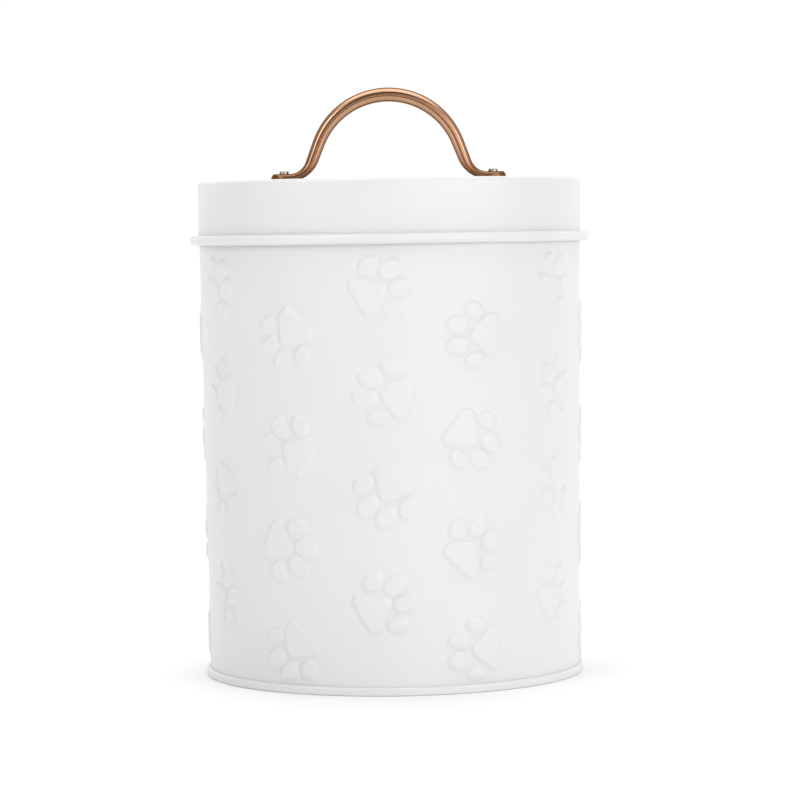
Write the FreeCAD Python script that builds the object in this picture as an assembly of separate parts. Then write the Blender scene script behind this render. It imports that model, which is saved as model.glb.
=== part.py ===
"""A round steel storage bin for dry pet food, with a slip-on lid and a riveted strap handle.

Millimetres. +Z is up, the bin stands on Z = 0 about the Z axis, and the handle runs along X.
Each piece of the bin is one solid and goes to one STEP file in parts/.
"""
import FreeCAD, Part
import math
import os

# ---- driving dimensions ----
SHEET = 0.5                    # sheet steel of the wall, collar, base and lid
HEIGHT = 245.0                 # floor to the top of the lid

LID_RADIUS = 95.0
LID_CORNER = 1.8               # outside radius where the lid's top turns into its skirt
SKIRT_BOTTOM = 218.15

CURL_RADIUS = 2.5              # the wall's top edge is rolled outward into a hollow ring
CURL_TOP = 218.7
CURL_TAIL = 1.0                # length of the rolled edge past the ring's lowest point
WALL_TOP_RADIUS = 94.15        # inside, at the rolled ring
WALL_FOOT_RADIUS = 91.75       # inside, at the base
TAPER_START = 5.0

SEAM_WIDTH = 5.0               # the wall's side seam laps on the inside, at the back
SEAM_BOTTOM = 6.0
SEAM_TOP = 196.0

COLLAR_BOTTOM = 198.0          # the neck collar laps this far down inside the wall
COLLAR_TOP = 238.0
COLLAR_CURL = 1.25

CHIME_RADIUS = 94.25           # the folded seam that joins base and wall
CHIME_HEIGHT = 4.0
CHIME_CORNER = 0.9
PANEL_UNDERSIDE = 3.5          # the base panel stands this far above the floor
PANEL_STEP = 0.8               # its middle is pressed up by this much, for stiffness
PANEL_STEP_RADIUS = 66.0
PANEL_STEP_RUN = 2.0

STRAP_HALF_LENGTH = 58.6
STRAP_WIDTH = 15.0
STRAP_SHEET = 1.2
STRAP_EDGE = 0.9               # rounding of the strap's long upper edges
FOOT_THICKNESS = 3.3
ARCH_TOP = 45.5                # outside of the arch above the lid
ARCH_RADIUS = 39.5
ARCH_LEAN = 20.0               # legs lean this many degrees from upright
ARCH_FLARE = 9.0               # bend from leg to foot, on the upper side
GRIP_TOP = 39.1                # underside of the arch above the lid
GRIP_RADIUS = 34.2
GRIP_LEAN = 22.0
GRIP_FLARE = 16.0
CHANNEL_HALF_LENGTH = 46.0     # the hollow underside of the strap stops short of the feet

RIVET_X = 52.0
RIVET_HEAD_RADIUS = 2.35
RIVET_HEAD_HEIGHT = 1.8
RIVET_SHANK_RADIUS = 1.5
RIVET_TAIL_RADIUS = 2.3
RIVET_TAIL_HEIGHT = 1.0
RIVET_CORNER = 0.5
WASHER_RADIUS = 3.5
WASHER_THICKNESS = 0.8

# ---- values worked out from them ----
CURL_BOTTOM = CURL_TOP - 2 * CURL_RADIUS
CURL_OUTSIDE = WALL_TOP_RADIUS + 2 * CURL_RADIUS
LID_UNDERSIDE = HEIGHT - SHEET
FOOT_TOP = HEIGHT + FOOT_THICKNESS
WASHER_UNDERSIDE = LID_UNDERSIDE - WASHER_THICKNESS
MARGIN = 1.0                   # how far a cutting solid reaches past the surfaces it cuts
NEAR = 0.1                     # how close an edge's middle must come to count as on a curve
TINY = 1e-6
UP = FreeCAD.Vector(0, 0, 1)
ORIGIN = FreeCAD.Vector(0, 0, 0)


# ---- drawing and shaping helpers ----
def point(corner):
    """A corner (x, z, ...) as a point in the XZ plane."""
    return FreeCAD.Vector(corner[0], 0, corner[1])


def rounded_path(corners):
    """Lines through corners (x, z) or (x, z, radius), with a tangent arc at each radius."""
    edges = []
    here = point(corners[0])
    for before, corner, after in zip(corners, corners[1:], corners[2:]):
        tip = point(corner)
        first = last = tip
        if len(corner) == 3:
            back = (point(before) - tip).normalize()
            ahead = (point(after) - tip).normalize()
            half = back.getAngle(ahead) / 2
            first = tip + back * (corner[2] / math.tan(half))
            last = tip + ahead * (corner[2] / math.tan(half))
            inward = (back + ahead).normalize()
            middle = tip + inward * (corner[2] / math.sin(half) - corner[2])
        if (first - here).Length > TINY:
            edges.append(Part.LineSegment(here, first).toShape())
        if len(corner) == 3:
            edges.append(Part.Arc(first, middle, last).toShape())
        here = last
    edges.append(Part.LineSegment(here, point(corners[-1])).toShape())
    return edges


def face(corners):
    """A closed face in the XZ plane. The first corner is a sharp one."""
    return Part.Face(Part.Wire(rounded_path(corners + corners[:1])))


def turned(corners, degrees=360):
    """The solid that a section (radius, z) sweeps about the Z axis, centred on the +X side."""
    solid = face(corners).revolve(ORIGIN, UP, degrees)
    if degrees < 360:
        solid.rotate(ORIGIN, UP, -degrees / 2)
    return solid


def across(corners, width):
    """An XZ face drawn out to a solid of this width, centred on Y = 0."""
    solid = face(corners).extrude(FreeCAD.Vector(0, width, 0))
    solid.translate(FreeCAD.Vector(0, -width / 2, 0))
    return solid


def wall_radius(z):
    """Inside radius of the tapered wall at height z."""
    share = (z - TAPER_START) / (CURL_TOP - TAPER_START)
    return WALL_FOOT_RADIUS + share * (WALL_TOP_RADIUS - WALL_FOOT_RADIUS)


# ---- the bin ----
def body_wall():
    """Tapered wall with its top edge rolled outward, and the lap of its side seam inside."""
    hollow = CURL_RADIUS - SHEET
    tail = WALL_TOP_RADIUS + CURL_RADIUS - CURL_TAIL
    wall = turned([
        (WALL_FOOT_RADIUS, SHEET),
        (WALL_FOOT_RADIUS + SHEET, SHEET),
        (WALL_FOOT_RADIUS + SHEET, TAPER_START),
        (WALL_TOP_RADIUS + SHEET, CURL_TOP - SHEET, hollow),
        (CURL_OUTSIDE - SHEET, CURL_TOP - SHEET, hollow),
        (CURL_OUTSIDE - SHEET, CURL_BOTTOM + SHEET, hollow),
        (tail, CURL_BOTTOM + SHEET),
        (tail, CURL_BOTTOM),
        (CURL_OUTSIDE, CURL_BOTTOM, CURL_RADIUS),
        (CURL_OUTSIDE, CURL_TOP, CURL_RADIUS),
        (WALL_TOP_RADIUS, CURL_TOP, CURL_RADIUS),
        (WALL_FOOT_RADIUS, TAPER_START),
    ])
    lap = turned([
        (wall_radius(SEAM_BOTTOM) - SHEET, SEAM_BOTTOM),
        (wall_radius(SEAM_BOTTOM), SEAM_BOTTOM),
        (wall_radius(SEAM_TOP), SEAM_TOP),
        (wall_radius(SEAM_TOP) - SHEET, SEAM_TOP),
    ], math.degrees(SEAM_WIDTH / WALL_TOP_RADIUS))
    lap.rotate(ORIGIN, UP, 90)
    return wall.fuse(lap).removeSplitter()


def neck_collar():
    """Ring lapped inside the wall; the lid slips over it. Its top edge is rolled inward."""
    outside = wall_radius(CURL_TOP - CURL_RADIUS)
    inside = outside - SHEET
    hollow = COLLAR_CURL - SHEET
    roll_inside = outside - 2 * COLLAR_CURL
    roll_bottom = COLLAR_TOP - 2 * COLLAR_CURL
    return turned([
        (wall_radius(COLLAR_BOTTOM) - SHEET, COLLAR_BOTTOM),
        (wall_radius(COLLAR_BOTTOM), COLLAR_BOTTOM),
        (outside, CURL_TOP - CURL_RADIUS),
        (outside, COLLAR_TOP, COLLAR_CURL),
        (roll_inside, COLLAR_TOP, COLLAR_CURL),
        (roll_inside, roll_bottom, COLLAR_CURL),
        (outside - COLLAR_CURL, roll_bottom),
        (outside - COLLAR_CURL, roll_bottom + SHEET),
        (roll_inside + SHEET, roll_bottom + SHEET, hollow),
        (roll_inside + SHEET, COLLAR_TOP - SHEET, hollow),
        (inside, COLLAR_TOP - SHEET, hollow),
        (inside, CURL_TOP - CURL_RADIUS),
    ])


def base_pan():
    """Base panel raised off the floor, and the folded chime that grips the wall's lower edge."""
    top = PANEL_UNDERSIDE + SHEET
    inside = WALL_FOOT_RADIUS - SHEET
    step_end = PANEL_STEP_RADIUS + PANEL_STEP_RUN
    return turned([
        (0, PANEL_UNDERSIDE + PANEL_STEP),
        (PANEL_STEP_RADIUS, PANEL_UNDERSIDE + PANEL_STEP),
        (step_end, PANEL_UNDERSIDE),
        (inside, PANEL_UNDERSIDE, SHEET),
        (inside, 0),
        (CHIME_RADIUS, 0, CHIME_CORNER),
        (CHIME_RADIUS, CHIME_HEIGHT, CHIME_CORNER),
        (WALL_FOOT_RADIUS + SHEET, CHIME_HEIGHT),
        (WALL_FOOT_RADIUS + SHEET, SHEET),
        (WALL_FOOT_RADIUS, SHEET),
        (WALL_FOOT_RADIUS, top),
        (step_end, top),
        (PANEL_STEP_RADIUS, top + PANEL_STEP),
        (0, top + PANEL_STEP),
    ])


# ---- the lid ----
def rivet_hole(side):
    """The drill for one rivet, right through strap, lid and washer."""
    start = FreeCAD.Vector(side * RIVET_X, 0, WASHER_UNDERSIDE - MARGIN)
    return Part.makeCylinder(RIVET_SHANK_RADIUS, FOOT_TOP - WASHER_UNDERSIDE + 2 * MARGIN, start)


def lid_cap():
    """Drawn cap: a flat top, a rounded corner and a straight skirt."""
    cap = turned([
        (0, HEIGHT),
        (LID_RADIUS, HEIGHT, LID_CORNER),
        (LID_RADIUS, SKIRT_BOTTOM),
        (LID_RADIUS - SHEET, SKIRT_BOTTOM),
        (LID_RADIUS - SHEET, LID_UNDERSIDE, LID_CORNER - SHEET),
        (0, LID_UNDERSIDE),
    ])
    for side in (-1, 1):
        cap = cap.cut(rivet_hole(side))
    return cap


def arch_section(top, radius, lean, flare, foot):
    """The area under an arch whose legs lean inward and bend out into level feet.

    top and foot are heights above the lid, lean is in degrees, and the area ends at the lid.
    """
    slope = math.radians(lean)
    tip = top - radius + radius / math.sin(slope)
    knee = (tip - foot) * math.tan(slope)
    return [
        (-STRAP_HALF_LENGTH, HEIGHT),
        (-STRAP_HALF_LENGTH, HEIGHT + foot),
        (-knee, HEIGHT + foot, flare),
        (0, HEIGHT + tip, radius),
        (knee, HEIGHT + foot, flare),
        (STRAP_HALF_LENGTH, HEIGHT + foot),
        (STRAP_HALF_LENGTH, HEIGHT),
    ]


def grip_space():
    """The space under the arch, between its feet and above the lid."""
    slope = math.radians(GRIP_LEAN)
    tip = GRIP_TOP - GRIP_RADIUS + GRIP_RADIUS / math.sin(slope)
    knee = tip * math.tan(slope)
    reach = GRIP_FLARE * math.tan((math.pi / 2 - slope) / 2)
    return across([
        (-knee - reach, HEIGHT - MARGIN),
        (-knee - reach, HEIGHT),
        (-knee, HEIGHT, GRIP_FLARE),
        (0, HEIGHT + tip, GRIP_RADIUS),
        (knee, HEIGHT, GRIP_FLARE),
        (knee + reach, HEIGHT),
        (knee + reach, HEIGHT - MARGIN),
    ], 2 * STRAP_WIDTH)


def strap_plan():
    """The strap seen from above: parallel edges and half-round ends."""
    centre = STRAP_HALF_LENGTH - STRAP_WIDTH / 2
    low = FreeCAD.Vector(-centre, -STRAP_WIDTH / 2, HEIGHT - MARGIN)
    plan = Part.makeBox(2 * centre, STRAP_WIDTH, ARCH_TOP + 2 * MARGIN, low)
    for side in (-1, 1):
        end = FreeCAD.Vector(side * centre, 0, HEIGHT - MARGIN)
        plan = plan.fuse(Part.makeCylinder(STRAP_WIDTH / 2, ARCH_TOP + 2 * MARGIN, end))
    return plan.removeSplitter()


def upper_edges(strap):
    """The two long edges of the strap's upper face, where it meets the sides."""
    centre = FreeCAD.Vector(0, 0, HEIGHT + ARCH_TOP - ARCH_RADIUS)
    found = []
    for edge in strap.Edges:
        middle = edge.valueAt((edge.FirstParameter + edge.LastParameter) / 2)
        on_side = abs(abs(middle.y) - STRAP_WIDTH / 2) < TINY
        outside = FreeCAD.Vector(middle.x, 0, middle.z).distanceToPoint(centre) > ARCH_RADIUS - NEAR
        if on_side and outside and middle.z > FOOT_TOP - TINY:
            found.append(edge)
    return found


def handle_strap():
    """Strap bent to an arch, its sides turned down so that it is a channel from below."""
    band = across(arch_section(ARCH_TOP, ARCH_RADIUS, ARCH_LEAN, ARCH_FLARE, FOOT_THICKNESS),
                  STRAP_WIDTH + 2 * MARGIN)
    strap = band.common(strap_plan())
    strap = strap.makeFillet(STRAP_EDGE, upper_edges(strap))
    strap = strap.cut(grip_space())
    roof = across(arch_section(ARCH_TOP - STRAP_SHEET, ARCH_RADIUS - STRAP_SHEET, ARCH_LEAN,
                               ARCH_FLARE + STRAP_SHEET, FOOT_THICKNESS - STRAP_SHEET),
                  STRAP_WIDTH - 2 * STRAP_SHEET)
    low = FreeCAD.Vector(-CHANNEL_HALF_LENGTH, -STRAP_WIDTH, HEIGHT - MARGIN)
    limit = Part.makeBox(2 * CHANNEL_HALF_LENGTH, 2 * STRAP_WIDTH, ARCH_TOP + 2 * MARGIN, low)
    strap = strap.cut(roof.common(limit))
    for side in (-1, 1):
        strap = strap.cut(rivet_hole(side))
    return strap


def rivet(side):
    """Pan-headed rivet, its tail spread against the washer inside the lid."""
    tail = WASHER_UNDERSIDE - RIVET_TAIL_HEIGHT
    solid = turned([
        (0, tail),
        (RIVET_TAIL_RADIUS, tail, RIVET_CORNER),
        (RIVET_TAIL_RADIUS, WASHER_UNDERSIDE),
        (RIVET_SHANK_RADIUS, WASHER_UNDERSIDE),
        (RIVET_SHANK_RADIUS, FOOT_TOP),
        (RIVET_HEAD_RADIUS, FOOT_TOP),
        (RIVET_HEAD_RADIUS, FOOT_TOP + RIVET_HEAD_HEIGHT, RIVET_CORNER),
        (0, FOOT_TOP + RIVET_HEAD_HEIGHT),
    ])
    solid.translate(FreeCAD.Vector(side * RIVET_X, 0, 0))
    return solid


def rivet_washer(side):
    """Flat washer that spreads the rivet's pull under the lid's thin sheet."""
    solid = turned([
        (RIVET_SHANK_RADIUS, WASHER_UNDERSIDE),
        (WASHER_RADIUS, WASHER_UNDERSIDE),
        (WASHER_RADIUS, LID_UNDERSIDE),
        (RIVET_SHANK_RADIUS, LID_UNDERSIDE),
    ])
    solid.translate(FreeCAD.Vector(side * RIVET_X, 0, 0))
    return solid


PARTS = {
    "body_wall": body_wall(),
    "neck_collar": neck_collar(),
    "base_pan": base_pan(),
    "lid_cap": lid_cap(),
    "handle_strap": handle_strap(),
    "left_rivet": rivet(-1),
    "right_rivet": rivet(1),
    "left_rivet_washer": rivet_washer(-1),
    "right_rivet_washer": rivet_washer(1),
}

os.makedirs("parts", exist_ok=True)
for name, shape in PARTS.items():
    print(f"{name}: valid {shape.isValid()}, solids {len(shape.Solids)}, {shape.Volume:.1f} mm3")
    shape.exportStep(f"parts/{name}.step")
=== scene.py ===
"""The looks of a round steel pet food bin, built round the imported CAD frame.

Geometry is worked out in millimetres, as in the CAD, and turned into metres by new_piece().
"""

import math

import bmesh
import bpy
import numpy as np
from mathutils import Matrix, Quaternion, Vector


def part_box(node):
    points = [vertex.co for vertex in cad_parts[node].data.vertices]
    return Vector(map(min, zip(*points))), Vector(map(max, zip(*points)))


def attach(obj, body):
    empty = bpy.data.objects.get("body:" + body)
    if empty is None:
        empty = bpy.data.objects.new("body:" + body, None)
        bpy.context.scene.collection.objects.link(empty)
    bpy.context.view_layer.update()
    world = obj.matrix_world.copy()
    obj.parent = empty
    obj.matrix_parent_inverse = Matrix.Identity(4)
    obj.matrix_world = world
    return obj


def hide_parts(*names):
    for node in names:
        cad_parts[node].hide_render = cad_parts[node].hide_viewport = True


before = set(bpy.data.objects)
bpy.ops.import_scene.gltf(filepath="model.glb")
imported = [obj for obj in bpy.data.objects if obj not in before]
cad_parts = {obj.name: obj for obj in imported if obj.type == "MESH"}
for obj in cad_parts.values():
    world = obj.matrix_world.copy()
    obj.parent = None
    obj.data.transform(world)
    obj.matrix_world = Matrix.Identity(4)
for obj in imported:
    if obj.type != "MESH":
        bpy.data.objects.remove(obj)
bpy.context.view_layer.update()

MM = 0.001


def span(node):
    """Lowest and highest corner of a CAD node, in millimetres."""
    low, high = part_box(node)
    return low / MM, high / MM


# ---- sizes read from the frame ----
WALL_LOW, WALL_HIGH = span("body_wall")
COLLAR_LOW, COLLAR_HIGH = span("neck_collar")
BASE_LOW, BASE_HIGH = span("base_pan")
LID_LOW, LID_HIGH = span("lid_cap")
STRAP_LOW, STRAP_HIGH = span("handle_strap")
RIVET_LOW, RIVET_HIGH = span("right_rivet")
WASHER_LOW, WASHER_HIGH = span("right_rivet_washer")

# ---- the bin's own sizes, as in the CAD ----
SHEET = 0.5
CURL = 2.5                     # outside radius of the wall's rolled top ring
CURL_TAIL = 1.0
WALL_TOP = WALL_HIGH.x - 2 * CURL          # inside radius of the wall at the ring
WALL_FOOT = BASE_HIGH.x - 2.5              # inside radius of the wall at the base
TAPER_START = 5.0
COLLAR_CURL = 1.25
CHIME_HEIGHT = 4.0
CHIME_CORNER = 0.9
PANEL = 3.5                    # underside of the base panel above the floor
PANEL_STEP = 0.8
PANEL_STEP_RADIUS = 66.0
PANEL_STEP_RUN = 2.0
PANEL_BEND = 1.5
LID_CORNER = 1.8
LID_RINGS = (30.0, 62.0)       # radii of the rings that divide the lid's flat top
SEAM_WIDTH = 5.0
SEAM_RISE = 0.4                # the lapped sheet stands this far out
SEAM_LOW = 6.0
SEAM_HIGH = 196.0
SEAM_EDGE = 0.9                # width of the lap's sloping edges

# ---- relief grid on the wall ----
COARSE = 8                     # the largest cell, in fine steps
COLUMNS = COARSE * 92          # fine steps round the wall, about 0.8 mm each
ROWS = COARSE * 33
RELIEF_LOW = TAPER_START
RELIEF_HIGH = 211.0
FLAT = 0.004                   # a step no higher than this counts as flat

# ---- raised paw prints ----
PAW_COLUMNS = 12
PAW_ROWS = 4
PAW_SHIFT = math.radians(-2.5) # the middle column stands this far to the left of the front
PAW_PITCH = 49.8               # from one print to the next below it
PAW_TOP = 193.6                # middle of the highest prints
PAW_DROP = 25.5                # every other column stands this much lower
CLOSE_COLUMN = (-5.3, 1.9)     # the second of each four columns is moved this far, across and up
# Directions of the toes in degrees, anticlockwise from the right, for the four columns that
# repeat round the wall. Down a column the three directions repeat.
PAW_TURNS = [(30, 165, 240), (180, 320, 45), (30, 165, 240), (230, 145, 335)]
RELIEF = 0.95                  # how far the pressed prints stand out
RELIEF_EDGE = 1.5              # width of their sloping edge
PAW_REACH = 24.0               # no part of a print is further from its middle
PAD_CORNERS = [Vector((-6.4, -2.5)), Vector((6.4, -2.5)), Vector((0, 4.9))]
PAD_RADIUS = 4.0               # the pad reaches this far past its corners and sides
TOES = [(11.9, 6.8, 3.9, 5.0, 22), (4.9, 15.2, 4.4, 5.8, 8)]   # across, up, half sizes, tilt
PAW_MIDDLE = 7.4               # the print's middle above the pad's centre

# ---- the strap handle ----
LID_TOP = LID_HIGH.z
STRAP_HALF = STRAP_HIGH.x
STRAP_WIDTH = STRAP_HIGH.y - STRAP_LOW.y
ARCH_TOP = STRAP_HIGH.z - LID_TOP
STRAP_SHEET = 0.9
STRAP_CROWN = 0.45
LIP_REACH = 4.2                # how far the strap's rolled sides turn in underneath
PAINTED_LINES = (17, -13)            # degrees round the rolled side of its two painted dark lines, a painted reflection
PAINTED_LINE_WIDTH = 4.5             # degrees
PAINTED_BAND = 0.42             # painted shade between the two dark lines, a painted reflection; 1 is the darkest
EDGE_PAINTED_SHADE = 0.85            # and painted shade along the roll's upper and lower edges
EDGE_START = 56                # degrees from the roll's middle
EDGE_FADE = 14                 # degrees
LIP_PAINTED_SHADE = 0.3              # painted shade on the edge turned in underneath
# Painted shade inside the rolled sides and under the strap's roof.
INSIDE_PAINTED_SHADE = 0.6
ROLL_STEPS = 30
# Painted shade on the strap's feet, darkest at their tips.
FOOT_PAINTED_SHADE = 0.62
FOOT_REACH = 22.0              # the painted shade on the feet ends this far from their tips
FOOT_FADE = 8.0
RIVET_HEAD = 1.8
FOOT = RIVET_HIGH.z - RIVET_HEAD - LID_TOP   # thickness of the strap's feet
# Outlines of the arch: radius, lean of the legs in degrees, bend from leg to foot.
ARCH = (39.5, 20.0, 9.0)
GRIP_TOP = 39.1                # underside of the arch above the lid
GRIP = (34.2, 22.0, 16.0)
ARC_STEPS = 48
STATION = 1.2                  # the strap's sections are about this far apart
SHANK_RADIUS = 1.5

# ---- camera and studio, in metres and degrees ----
EYE = (0.0, -1.6, 0.2201)
AIM = (0.0041, 0.0, 0.1353)
ROLL = -0.8
LENS = 144.3
# The studio's surroundings, added up: (direction, from, to, strength). Each one's brightness
# rises as the cosine of the angle to its direction goes between the two values.
SKY = [
    ((0, 0, 1), 0.70, 0.90, 1.6),
    ((1, 0, 0.3), 0.3, 0.9, 0.44),
    ((-1, 0, 0.3), 0.3, 0.9, 0.26),
    ((0, 1, 0.3), 0.3, 0.9, 1.03),
    ((0, -1, 0.3), 0.6, 0.95, 0.2),
    ((0.8, -1, 0), 0.75, 0.95, 2.45),
]


# ---- geometry helpers, in millimetres ----
def rounded(corners, steps=6, closed=False):
    """Points along corners (a, b) or (a, b, radius), with each radius drawn as an arc."""
    count = len(corners)
    points = []
    for k, corner in enumerate(corners):
        tip = Vector(corner[:2])
        if len(corner) == 2 or (not closed and k in (0, count - 1)):
            points.append(tip)
            continue
        back = (Vector(corners[k - 1][:2]) - tip).normalized()
        ahead = (Vector(corners[(k + 1) % count][:2]) - tip).normalized()
        half = back.angle(ahead) / 2
        centre = tip + (back + ahead).normalized() * (corner[2] / math.sin(half))
        first = tip + back * (corner[2] / math.tan(half)) - centre
        last = tip + ahead * (corner[2] / math.tan(half)) - centre
        turn = first.angle_signed(last)
        for s in range(steps + 1):
            points.append(centre + Matrix.Rotation(-turn * s / steps, 2) @ first)
    return points


def new_piece(name, bm, body, replaced, material, crease=40):
    """Turns millimetres into metres, closes the piece and puts it on its CAD body."""
    bmesh.ops.recalc_face_normals(bm, faces=bm.faces)
    bmesh.ops.scale(bm, vec=(MM, MM, MM), verts=bm.verts)
    mesh = bpy.data.meshes.new(name)
    bm.to_mesh(mesh)
    bm.free()
    mesh.polygons.foreach_set("use_smooth", [True] * len(mesh.polygons))
    mesh.set_sharp_from_angle(angle=math.radians(crease))
    mesh.materials.append(material)
    piece = bpy.data.objects.new(name, mesh)
    bpy.context.scene.collection.objects.link(piece)
    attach(piece, body)
    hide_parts(replaced)
    return piece


def ring(bm, radius, z, columns, centre=0.0):
    """A ring of vertices round the Z axis, or one vertex where the radius is nought."""
    if radius < 1e-6:
        return [bm.verts.new((centre, 0, z))]
    turns = [2 * math.pi * c / columns - math.pi for c in range(columns)]
    return [bm.verts.new((centre + radius * math.sin(t), -radius * math.cos(t), z)) for t in turns]


def bridge(bm, low, high):
    """Faces between two rings; either may be a single vertex."""
    count = max(len(low), len(high))
    for c in range(count):
        d = (c + 1) % count
        corners = [low[c % len(low)], low[d % len(low)], high[d % len(high)], high[c % len(high)]]
        bm.faces.new(list(dict.fromkeys(corners)))


def lathe(bm, section, columns, closed=False, centre=0.0):
    """Sweeps points (radius, z) about an upright axis."""
    rings = [ring(bm, p[0], p[1], columns, centre) for p in section]
    pairs = list(zip(rings, rings[1:]))
    if closed:
        pairs.append((rings[-1], rings[0]))
    for low, high in pairs:
        bridge(bm, low, high)


# ---- the wall ----
def wall_radius(z):
    """Inside radius of the tapered wall."""
    share = (z - TAPER_START) / (WALL_HIGH.z - TAPER_START)
    return WALL_FOOT + share * (WALL_TOP - WALL_FOOT)


def smooth(x):
    """Nought below nought, one above one, and a smooth rise between."""
    x = np.clip(x, 0, 1)
    return x * x * x * (x * (6 * x - 15) + 10)


def depth_inside(x, y, corners):
    """How far points lie inside an outline run through anticlockwise; negative outside."""
    nearest, beyond = np.inf, -np.inf
    for a, b in zip(corners, corners[1:] + corners[:1]):
        run = b - a
        along = np.clip(((x - a.x) * run.x + (y - a.y) * run.y) / run.length_squared, 0, 1)
        away = np.hypot(x - a.x - along * run.x, y - a.y - along * run.y)
        nearest = np.minimum(nearest, away)
        beyond = np.maximum(beyond, ((x - a.x) * run.y - (y - a.y) * run.x) / run.length)
    return np.where(beyond > 0, -nearest, nearest)


def paw_inside(across, up):
    """How far points lie inside the print's nearest shape, toes upward; negative outside."""
    inside = depth_inside(across, up, PAD_CORNERS) + PAD_RADIUS
    for x, y, half_width, half_height, tilt in TOES:
        c, s = math.cos(math.radians(tilt)), math.sin(math.radians(tilt))
        a = (abs(across) - x) * c - (up - y) * s
        b = (up - y) * c + (abs(across) - x) * s
        away = np.hypot(a / half_width, b / half_height)
        inside = np.maximum(inside, (1 - away) * half_width)
    return inside


def paw_places():
    """(angle from the front, height, toe direction) of every print."""
    for column in range(PAW_COLUMNS):
        kind = column % len(PAW_TURNS)
        across, up = CLOSE_COLUMN if kind == 1 else (0, 0)
        turn = PAW_SHIFT + column * 2 * math.pi / PAW_COLUMNS + across / WALL_TOP
        for row in range(PAW_ROWS):
            z = PAW_TOP - PAW_PITCH * row - PAW_DROP * (kind % 2) + up
            yield turn, z, math.radians(PAW_TURNS[kind][row % len(PAW_TURNS[kind])])


def relief():
    """Height of the pressed relief over the wall, as an array of columns and rows."""
    turns = np.arange(COLUMNS) * 2 * math.pi / COLUMNS - math.pi
    heights = np.linspace(RELIEF_LOW, RELIEF_HIGH, ROWS + 1)
    field = np.zeros((COLUMNS, ROWS + 1))
    for turn, z, toes in paw_places():
        off = (turns - turn + math.pi) % (2 * math.pi) - math.pi
        i = np.flatnonzero(abs(off) * wall_radius(z) < PAW_REACH)
        j = np.flatnonzero(abs(heights - z) < PAW_REACH)
        across, up = np.meshgrid(off[i] * wall_radius(z), heights[j] - z, indexing="ij")
        ahead = across * math.cos(toes) + up * math.sin(toes) + PAW_MIDDLE
        aside = across * math.sin(toes) - up * math.cos(toes)
        rise = RELIEF * smooth(paw_inside(aside, ahead) / RELIEF_EDGE + 0.5)
        grid = np.ix_(i, j)
        field[grid] = np.maximum(field[grid], rise)
    # The prints fade out next to the chime and the rolled ring, and beside the seam.
    fade = smooth((heights - RELIEF_LOW - 0.6) / 2) * smooth((RELIEF_HIGH - 1 - heights) / 2)
    beside_seam = (math.pi - abs(turns)) * WALL_TOP - SEAM_WIDTH / 2
    return field * np.outer(smooth((beside_seam - 1) / 1.5), fade)


def seam_lap():
    """Where the wall's side seam doubles the sheet, at the back, from nought to one."""
    turns = np.arange(COLUMNS) * 2 * math.pi / COLUMNS - math.pi
    heights = np.linspace(RELIEF_LOW, RELIEF_HIGH, ROWS + 1)
    off = (math.pi - abs(turns)) * WALL_TOP
    along = smooth((SEAM_WIDTH / 2 - off) / SEAM_EDGE + 0.5)
    up = smooth(heights - SEAM_LOW) * smooth(SEAM_HIGH - heights)
    return np.outer(along, up)


def cells(field, largest):
    """Square cells (column, row, size) over a relief, small only where it slopes."""
    columns, rows = field.shape[0], field.shape[1] - 1
    sloped = np.zeros(field.shape, bool)
    for axis in (0, 1):
        for way in (1, -1):
            step = np.roll(field, way, axis)
            sloped |= abs(field - step) > FLAT
    sloped[:, 0] = sloped[:, -1] = False
    sloped = np.vstack([sloped, sloped[:1]])
    waiting = [(i, j, largest) for i in range(0, columns, largest) for j in range(0, rows, largest)]
    while waiting:
        i, j, size = waiting.pop()
        if size == 1 or not sloped[i:i + size + 1, j:j + size + 1].any():
            yield i, j, size
        else:
            half = size // 2
            waiting += [(i + a, j + b, half) for a in (0, half) for b in (0, half)]


def skin(bm, field, inward, stride):
    """One skin of the pressed wall. Returns its lowest and highest ring of vertices."""
    field = field[::stride, ::stride]
    columns, rows = field.shape[0], field.shape[1] - 1
    leaves = list(cells(field, COARSE // stride))
    used = np.zeros((columns, rows + 1), bool)
    for i, j, size in leaves:
        for a in (i, (i + size) % columns):
            used[a, j] = used[a, j + size] = True
    made = {}
    for i, j in zip(*np.nonzero(used)):
        turn = 2 * math.pi * i / columns - math.pi
        z = RELIEF_LOW + (RELIEF_HIGH - RELIEF_LOW) * j / rows
        radius = wall_radius(z) + SHEET - inward + field[i, j]
        made[i, j] = bm.verts.new((radius * math.sin(turn), -radius * math.cos(turn), z))
    for i, j, size in leaves:
        loop = [(i + k, j) for k in range(size)] + [(i + size, j + k) for k in range(size)]
        loop += [(i + size - k, j + size) for k in range(size)]
        loop += [(i, j + size - k) for k in range(size)]
        bm.faces.new([made[a % columns, b] for a, b in loop if used[a % columns, b]])
    return [[made[i, j] for i in range(0, columns, COARSE // stride)] for j in (0, rows)]


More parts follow.
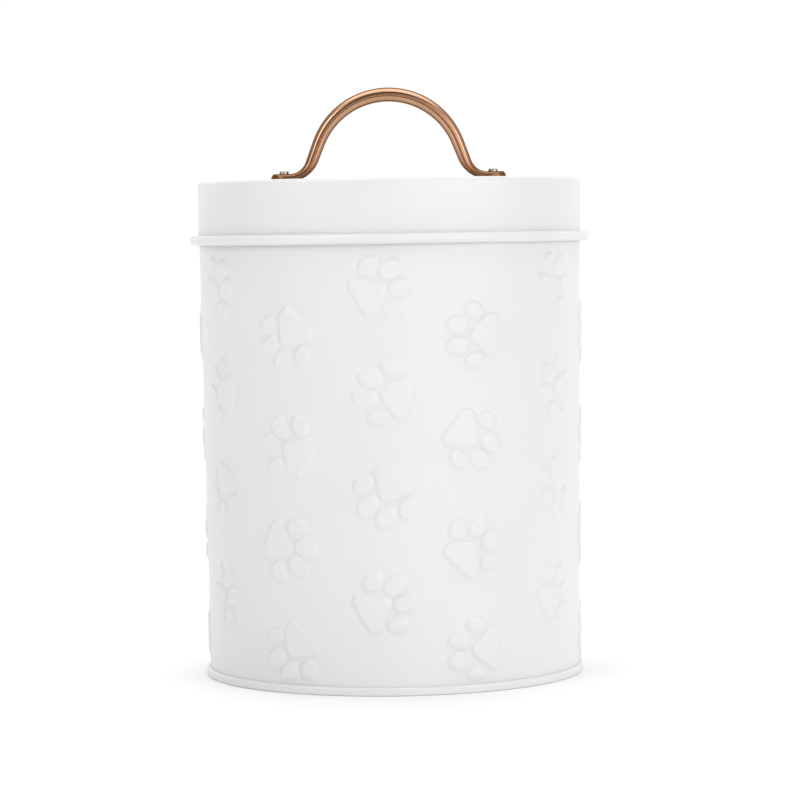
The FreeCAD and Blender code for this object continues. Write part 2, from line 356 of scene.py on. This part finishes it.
def make_wall(material):
    """The pressed wall: outer skin, rolled ring, inner skin and the edge inside the chime."""
    bm = bmesh.new()
    prints = relief()
    lap = seam_lap()
    outer = skin(bm, prints + SEAM_RISE * lap, 0.0, 1)
    inner = skin(bm, prints - SHEET * lap, SHEET, 2)
    columns = COLUMNS // COARSE
    right, top = WALL_HIGH.x, WALL_HIGH.z
    bottom = top - 2 * CURL
    tail = WALL_TOP + CURL - CURL_TAIL
    section = rounded([
        (wall_radius(RELIEF_HIGH) + SHEET, RELIEF_HIGH),
        (WALL_TOP + SHEET, top - SHEET, CURL - SHEET),
        (right - SHEET, top - SHEET, CURL - SHEET),
        (right - SHEET, bottom + SHEET, CURL - SHEET),
        (tail, bottom + SHEET),
        (tail, bottom),
        (right, bottom, CURL),
        (right, top, CURL),
        (WALL_TOP, top, CURL),
        (wall_radius(RELIEF_HIGH), RELIEF_HIGH),
    ], 8)[1:-1]
    rings = [outer[1]] + [ring(bm, r, z, columns) for r, z in section] + [inner[1]]
    for low, high in zip(rings, rings[1:]):
        bridge(bm, low, high)
    foot = [(WALL_FOOT, SHEET), (WALL_FOOT + SHEET, SHEET)]
    rings = [inner[0]] + [ring(bm, r, z, columns) for r, z in foot] + [outer[0]]
    for low, high in zip(rings, rings[1:]):
        bridge(bm, low, high)
    return new_piece("pressed_wall", bm, "bin", "body_wall", material)


# ---- collar, base and lid ----
def make_collar(material):
    """Neck collar with its top edge rolled inward."""
    bm = bmesh.new()
    outside = COLLAR_HIGH.x
    ring_height = WALL_HIGH.z - CURL
    top = COLLAR_HIGH.z
    inside = outside - 2 * COLLAR_CURL
    roll = top - 2 * COLLAR_CURL
    hollow = COLLAR_CURL - SHEET
    low = wall_radius(COLLAR_LOW.z)
    lathe(bm, rounded([
        (low - SHEET, COLLAR_LOW.z),
        (low, COLLAR_LOW.z),
        (outside, ring_height),
        (outside, top, COLLAR_CURL),
        (inside, top, COLLAR_CURL),
        (inside, roll, COLLAR_CURL),
        (outside - COLLAR_CURL, roll),
        (outside - COLLAR_CURL, roll + SHEET),
        (inside + SHEET, roll + SHEET, hollow),
        (inside + SHEET, top - SHEET, hollow),
        (outside - SHEET, top - SHEET, hollow),
        (outside - SHEET, ring_height),
    ], 6, True), COLUMNS // COARSE, True)
    return new_piece("rolled_neck", bm, "bin", "neck_collar", material)


def make_base(material):
    """Base panel and the folded chime round it."""
    bm = bmesh.new()
    inside = WALL_FOOT - SHEET
    outside = BASE_HIGH.x
    step = PANEL_STEP_RADIUS + PANEL_STEP_RUN
    wall = WALL_FOOT + SHEET
    lathe(bm, rounded([
        (0, PANEL + PANEL_STEP),
        (PANEL_STEP_RADIUS, PANEL + PANEL_STEP, PANEL_BEND),
        (step, PANEL, PANEL_BEND),
        (inside, PANEL, SHEET),
        (inside, 0, 0.3),
        (outside, 0, CHIME_CORNER),
        (outside, CHIME_HEIGHT, CHIME_CORNER),
        (wall, CHIME_HEIGHT, 0.35),
        (wall, SHEET),
        (WALL_FOOT, SHEET),
        (WALL_FOOT, PANEL + SHEET),
        (step, PANEL + SHEET, PANEL_BEND),
        (PANEL_STEP_RADIUS, PANEL + SHEET + PANEL_STEP, PANEL_BEND),
        (0, PANEL + SHEET + PANEL_STEP),
    ], 6), COLUMNS // COARSE)
    return new_piece("seamed_base", bm, "bin", "base_pan", material)


def make_lid(material):
    """Drawn lid with a rounded corner and a thin skirt."""
    bm = bmesh.new()
    outside = LID_HIGH.x
    top = LID_HIGH.z
    skirt = LID_LOW.z
    edge = SHEET * 0.45
    near, far = LID_RINGS
    lathe(bm, rounded([
        (0, top),
        (near, top),
        (far, top),
        (outside, top, LID_CORNER),
        (outside, skirt, edge),
        (outside - SHEET, skirt, edge),
        (outside - SHEET, top - SHEET, LID_CORNER - SHEET),
        (far, top - SHEET),
        (near, top - SHEET),
        (0, top - SHEET),
    ], 8), 2 * COLUMNS // COARSE)
    return new_piece("drawn_lid", bm, "lid", "lid_cap", material)


# ---- the handle ----
def arch(top, radius, lean, flare, foot):
    """One outline of the arch, from the end of its left foot to the end of its right."""
    slope = math.radians(lean)
    tip = top - radius + radius / math.sin(slope)
    knee = (tip - foot) * math.tan(slope)
    return rounded([
        (-STRAP_HALF, foot),
        (-knee, foot, flare),
        (0, tip, radius),
        (knee, foot, flare),
        (STRAP_HALF, foot),
    ], ARC_STEPS)


def even(points, spacing):
    """The same line with points about this far apart."""
    fine = [points[0]]
    for a, b in zip(points, points[1:]):
        pieces = max(1, round((b - a).length / spacing))
        fine += [a.lerp(b, k / pieces) for k in range(1, pieces + 1)]
    return fine


def depth_below(point, normal, line):
    """Distance from a point, against its normal, to a line of points."""
    best = 1e9
    for a, b in zip(line, line[1:]):
        run = b - a
        cross = run.x * normal.y - run.y * normal.x
        if abs(cross) < 1e-9:
            continue
        off = point - a
        along = (off.x * normal.y - off.y * normal.x) / cross
        reach = (off.y * run.x - off.x * run.y) / cross
        if -0.001 <= along <= 1.001 and 0 < reach < best:
            best = reach
    return best


def painted_line_shade(degrees):
    """How dark the copper is painted round the rolled side: two dark lines and the band between them as
    a painted reflection, and painted shade along the edges.
    """
    upper, lower = PAINTED_LINES
    lines = sum(math.exp(-((degrees - c) / PAINTED_LINE_WIDTH) ** 2) for c in PAINTED_LINES)
    band = PAINTED_BAND if lower < degrees < upper else 0.0
    edge = EDGE_PAINTED_SHADE * smooth((abs(degrees) - EDGE_START) / EDGE_FADE)
    return max(min(lines, 1.0), band, edge)


def strap_loop(half_width, depth):
    """The strap's section as a loop of (across, up, painted shade), open along the bottom."""
    sheet = min(STRAP_SHEET, 0.45 * depth)
    radius = min(depth / 2, 0.9 * half_width)
    side = half_width - radius
    lip = min(max(half_width - LIP_REACH, 0.15 * half_width), side)
    crown = STRAP_CROWN * min(1, half_width / 4)

    def around(reach, way, with_painted_lines):
        """The rolled right side, from the bottom up for way 1 and from the top down for -1."""
        points = []
        for k in range(ROLL_STEPS + 1)[::way]:
            degrees = 180 * k / ROLL_STEPS - 90
            turn = math.radians(degrees)
            # Painted reflection and shade on the outside of the roll, painted shade inside it.
            dark = painted_line_shade(degrees) if with_painted_lines else INSIDE_PAINTED_SHADE
            points.append((side + reach * math.cos(turn), reach * math.sin(turn) - depth / 2, dark))
        return points

    def across(height, way, dark):
        """The crowned top, from right to left for way 1."""
        ys = [side * (1 - k / 4) for k in range(1, 8)[::way]]
        return [(y, height + crown * (1 - (y / side) ** 2), dark) for y in ys]

    def mirrored(points):
        return [(-y, n, dark) for y, n, dark in points][::-1]

    # Painted shade on the edge turned in underneath and inside it.
    edge = [(lip, sheet / 2 - depth, INSIDE_PAINTED_SHADE), (lip + sheet / 4, -depth, LIP_PAINTED_SHADE)]
    outside = edge + around(radius, 1, True)
    inside = around(radius - sheet, -1, False)
    inside.append((lip + sheet / 4, sheet - depth, INSIDE_PAINTED_SHADE))
    top = across(radius - depth / 2, 1, 0.0)
    roof = across(radius - sheet - depth / 2, -1, INSIDE_PAINTED_SHADE)
    return outside + top + mirrored(outside) + mirrored(inside) + roof + inside


def make_strap(material):
    """Strap bent to an arch: sides rolled under on the arch, pressed flat at the feet."""
    upper = even(arch(ARCH_TOP, *ARCH, FOOT), STATION)
    lower = arch(GRIP_TOP, *GRIP, 0.0)
    bm = bmesh.new()
    length = 0.0
    rows = []
    for k, here in enumerate(upper):
        ahead = upper[min(k + 1, len(upper) - 1)] - upper[max(k - 1, 0)]
        normal = Vector((-ahead.y, ahead.x)).normalized()
        depth = depth_below(here, normal, lower)
        from_tip = STRAP_HALF - abs(here.x)
        half = STRAP_WIDTH / 2
        if from_tip < half:
            half = math.sqrt(max(half * half - (half - from_tip) ** 2, 0))
        if k:
            length += (here - upper[k - 1]).length
        rows.append((here, normal, depth, half, from_tip, length))
    uv = bm.loops.layers.uv.new("strap")
    # Painted shade and painted reflection, kept on the vertices for the copper to darken.
    painted_shade = bm.verts.layers.float.new("painted_shade")
    rings = []
    for here, normal, depth, half, from_tip, length in rows:
        if half < 0.3:
            middle = here - normal * depth / 2
            rings.append(([bm.verts.new((middle.x, 0, LID_TOP + middle.y))], [(length, 0)]))
            continue
        nose = min(from_tip / (depth / 2), 1)
        squeeze = math.sqrt(max(1 - (1 - nose) ** 2, 0.02))
        drop = depth * (1 - squeeze) / 2
        # Painted shade on the feet, fading out away from their tips.
        foot = FOOT_PAINTED_SHADE * smooth((FOOT_REACH - from_tip) / FOOT_FADE)
        made, places = [], [(length, 0)]
        loop = strap_loop(half, depth * squeeze)
        for k, (y, n, dark) in enumerate(loop):
            at = here + normal * (n - drop)
            vert = bm.verts.new((at.x, y, LID_TOP + at.y))
            vert[painted_shade] = max(dark, foot)
            made.append(vert)
            ahead = loop[(k + 1) % len(loop)]
            places.append((length, places[-1][1] + math.hypot(ahead[0] - y, ahead[1] - n)))
        rings.append((made, places))
    for low, high in zip(rings, rings[1:]):
        for c in range(max(len(low[0]), len(high[0]))):
            corners = []
            for (verts, places), k in ((low, c), (low, c + 1), (high, c + 1), (high, c)):
                vert = verts[k % len(verts)]
                if vert not in [v for v, place in corners]:
                    corners.append((vert, places[min(k, len(places) - 1)]))
            if len(corners) < 3:
                continue
            face = bm.faces.new([v for v, place in corners])
            for loop, (v, place) in zip(face.loops, corners):
                loop[uv].uv = place
    return new_piece("strap", bm, "lid", "handle_strap", material)


def make_rivet(name, side, material):
    """Pan-headed rivet with its tail spread inside the lid."""
    bm = bmesh.new()
    head = (RIVET_HIGH.x - RIVET_LOW.x) / 2
    centre = side * (RIVET_HIGH.x + RIVET_LOW.x) / 2
    seat = LID_TOP + FOOT
    tail = WASHER_LOW.z
    lathe(bm, rounded([
        (0, RIVET_LOW.z),
        (head * 0.6, RIVET_LOW.z + 0.05),
        (head * 0.97, RIVET_LOW.z + 0.25, 0.3),
        (head * 0.97, tail, 0.15),
        (SHANK_RADIUS, tail),
        (SHANK_RADIUS, seat),
        (head * 0.93, seat),
        (head, seat + 0.12),
        (head, RIVET_HIGH.z - 0.12, 0.5),
        (head * 0.45, RIVET_HIGH.z),
        (0, RIVET_HIGH.z),
    ], 6), 40, centre=centre)
    return new_piece(name + "_body", bm, "lid", name, material, 50)


def make_washer(name, side, material):
    """Flat washer with softened edges."""
    bm = bmesh.new()
    outside = (WASHER_HIGH.x - WASHER_LOW.x) / 2
    centre = side * (WASHER_HIGH.x + WASHER_LOW.x) / 2
    lathe(bm, rounded([
        (SHANK_RADIUS, WASHER_LOW.z, 0.1),
        (outside, WASHER_LOW.z, 0.25),
        (outside, WASHER_HIGH.z, 0.1),
        (SHANK_RADIUS, WASHER_HIGH.z, 0.1),
    ], 4, True), 40, True, centre)
    return new_piece(name + "_body", bm, "lid", name, material, 50)


# ---- materials ----
class Nodes:
    """A material's node tree, with short calls for adding and joining nodes."""

    def __init__(self, name):
        self.material = bpy.data.materials.new(name)
        self.material.use_nodes = True
        self.tree = self.material.node_tree
        self.surface = self.tree.nodes["Principled BSDF"]
        self.place = self.add("ShaderNodeTexCoord")

    def add(self, kind, **values):
        """A new node. Values for its inputs go by name, with spaces as underscores."""
        node = self.tree.nodes.new(kind)
        for key, value in values.items():
            socket = node.inputs.get(key.replace("_", " "))
            if socket is None:
                setattr(node, key, value)
            elif hasattr(value, "is_output"):
                self.tree.links.new(value, socket)
            else:
                socket.default_value = value
        return node

    def noise(self, scale, detail=3.0, stretch=None, source=None):
        """Noise in metres, stretched along some axes if asked."""
        vector = source or self.place.outputs["Object"]
        if stretch:
            vector = self.add("ShaderNodeMapping", Vector=vector, Scale=stretch).outputs[0]
        node = self.add("ShaderNodeTexNoise", Vector=vector, Scale=scale, Detail=detail)
        return node.outputs["Fac"]

    def between(self, fac, low, high, start=0.3, end=0.7):
        """A value that goes from low to high as fac goes from start to end."""
        node = self.add("ShaderNodeMapRange", Value=fac, From_Min=start, From_Max=end,
                        To_Min=low, To_Max=high)
        return node.outputs["Result"]

    def mix(self, fac, a, b):
        """A colour between a and b."""
        node = self.add("ShaderNodeMix", data_type="RGBA")
        for key, value in ((0, fac), (6, a), (7, b)):
            if hasattr(value, "is_output"):
                self.tree.links.new(value, node.inputs[key])
            else:
                node.inputs[key].default_value = value
        return node.outputs[2]

    def bump(self, height, strength, distance, under=None):
        """A bump over another one."""
        node = self.add("ShaderNodeBump", Height=height, Strength=strength, Distance=distance)
        if under is not None:
            self.tree.links.new(under, node.inputs["Normal"])
        return node.outputs["Normal"]

    def set(self, **values):
        """Gives inputs of the surface shader numbers or links."""
        for key, value in values.items():
            socket = self.surface.inputs[key.replace("_", " ")]
            if hasattr(value, "is_output"):
                self.tree.links.new(value, socket)
            else:
                socket.default_value = value


def white_coat():
    """White powder coat: fine orange peel, faint mottling and handling marks."""
    n = Nodes("white_powder_coat")
    mottle = n.noise(22, 1)
    smears = n.noise(30, 1, (1, 1, 0.4))
    peel = n.noise(900, 2)
    grain = n.noise(3600, 2)
    tint = n.mix(n.between(mottle, 0, 1, 0.2, 0.8), (0.742, 0.742, 0.738, 1), (0.760, 0.761, 0.761, 1))
    n.set(Base_Color=tint, Roughness=n.between(smears, 0.285, 0.335, 0.2, 0.8), IOR=1.5)
    wave = n.bump(n.noise(120, 1), 0.12, 0.0003)
    fine = n.bump(peel, 0.22, 0.00012, wave)
    n.set(Normal=n.bump(grain, 0.12, 0.00004, fine))
    return n.material


def copper():
    """Copper plate, satin polished along the strap, with painted shade and painted reflections in brown
    and near black round its rolled sides and on its feet.
    """
    n = Nodes("satin_copper")          # the strap's UV map is in millimetres along and round it
    strap = n.add("ShaderNodeUVMap", uv_map="strap").outputs["UV"]
    brush = n.noise(1, 1, (0.03, 1.1, 1), strap)
    patches = n.noise(70, 3)
    painted_shade = n.add("ShaderNodeAttribute", attribute_name="painted_shade").outputs["Fac"]
    bright = n.mix(n.between(patches, 0, 1), (0.62, 0.36, 0.225, 1), (0.71, 0.445, 0.30, 1))
    bright = n.mix(n.between(brush, 0, 0.4), bright, (0.52, 0.27, 0.145, 1))
    # Painted shade and painted reflection: where the strap's painted darkness is high, the copper turns
    # brown, then near black.
    painted_shade_brown = n.mix(n.between(painted_shade, 0, 1, 0.0, 0.55), bright, (0.34, 0.165, 0.088, 1))
    tone = n.mix(n.between(painted_shade, 0, 1, 0.55, 1.0), painted_shade_brown, (0.045, 0.018, 0.007, 1))
    rough = n.between(brush, 0.20, 0.27)
    n.set(Base_Color=tone, Metallic=1.0, Roughness=rough, Specular_Tint=(0.4, 0.29, 0.21, 1))
    n.set(Normal=n.bump(brush, 0.05, 0.00005))
    return n.material


def rivet_steel():
    """Nickel-plated steel with small dents and scuffs."""
    n = Nodes("nickel_plated_steel")
    scuffs = n.noise(900, 4)
    tone = n.mix(n.between(scuffs, 0, 1), (0.36, 0.35, 0.325, 1), (0.52, 0.51, 0.48, 1))
    n.set(Base_Color=tone, Metallic=1.0, Roughness=n.between(scuffs, 0.28, 0.45))
    dents = n.bump(n.noise(600, 2), 0.25, 0.0001)
    n.set(Normal=n.bump(scuffs, 0.15, 0.00004, dents))
    return n.material


def floor_paint():
    """Pale matt studio floor."""
    n = Nodes("pale_floor")
    n.set(Base_Color=(0.92, 0.92, 0.92, 1), Roughness=0.85)
    n.surface.inputs["Specular IOR Level"].default_value = 0.15
    return n.material


# ---- studio ----
def make_floor():
    """A wide pale floor."""
    bm = bmesh.new()
    lathe(bm, [(0, 0), (0.5, 0), (2.5, 0), (30, 0)], 96)
    mesh = bpy.data.meshes.new("floor")
    bm.to_mesh(mesh)
    bm.free()
    mesh.materials.append(floor_paint())
    floor = bpy.data.objects.new("floor", mesh)
    bpy.context.scene.collection.objects.link(floor)


def soft_box(name, place, aim, width, height, watts):
    """A rectangular soft light."""
    data = bpy.data.lights.new(name, "AREA")
    data.shape = "RECTANGLE"
    data.size = width
    data.size_y = height
    data.energy = watts
    lamp = bpy.data.objects.new(name, data)
    lamp.location = place
    lamp.rotation_euler = (Vector(aim) - Vector(place)).to_track_quat("-Z", "Y").to_euler()
    bpy.context.scene.collection.objects.link(lamp)


def make_world():
    """Soft surroundings: the sum of the steps in SKY."""
    world = bpy.data.worlds.new("studio")
    bpy.context.scene.world = world
    world.use_nodes = True
    nodes, links = world.node_tree.nodes, world.node_tree.links
    place = nodes.new("ShaderNodeTexCoord").outputs["Generated"]
    total = None
    for way, start, end, strength in SKY:
        dot = nodes.new("ShaderNodeVectorMath")
        dot.operation = "DOT_PRODUCT"
        dot.inputs[1].default_value = Vector(way).normalized()
        links.new(place, dot.inputs[0])
        level = nodes.new("ShaderNodeMapRange")
        level.interpolation_type = "SMOOTHSTEP"
        for key, value in (("From Min", start), ("From Max", end), ("To Min", 0), ("To Max", strength)):
            level.inputs[key].default_value = value
        links.new(dot.outputs["Value"], level.inputs["Value"])
        both = nodes.new("ShaderNodeMath")
        both.inputs[1].default_value = 0
        links.new(level.outputs[0], both.inputs[0])
        if total:
            links.new(total, both.inputs[1])
        total = both.outputs[0]
    nodes["Background"].inputs["Color"].default_value = (1, 1, 1, 1)
    links.new(total, nodes["Background"].inputs["Strength"])


def make_camera():
    """A long lens at the height of the lid's skirt, aimed a little down and rolled a little."""
    data = bpy.data.cameras.new("camera")
    data.sensor_width = 36
    data.lens = LENS
    camera = bpy.data.objects.new("camera", data)
    bpy.context.scene.collection.objects.link(camera)
    camera.location = EYE
    turn = (Vector(AIM) - Vector(EYE)).to_track_quat("-Z", "Y")
    camera.rotation_mode = "QUATERNION"
    camera.rotation_quaternion = turn @ Quaternion((0, 0, 1), math.radians(ROLL))
    bpy.context.scene.camera = camera


make_camera()
coat = white_coat()
bronze = copper()
steel = rivet_steel()
make_wall(coat)
make_collar(coat)
make_base(coat)
make_lid(coat)
make_strap(bronze)
for side, word in ((-1, "left"), (1, "right")):
    make_rivet(word + "_rivet", side, steel)
    make_washer(word + "_rivet_washer", side, steel)
make_floor()
make_world()
soft_box("key", (-0.55, -0.5, 0.62), (0, 0, 0.22), 0.45, 0.45, 1.75)
bpy.context.scene.view_settings.view_transform = "Standard"
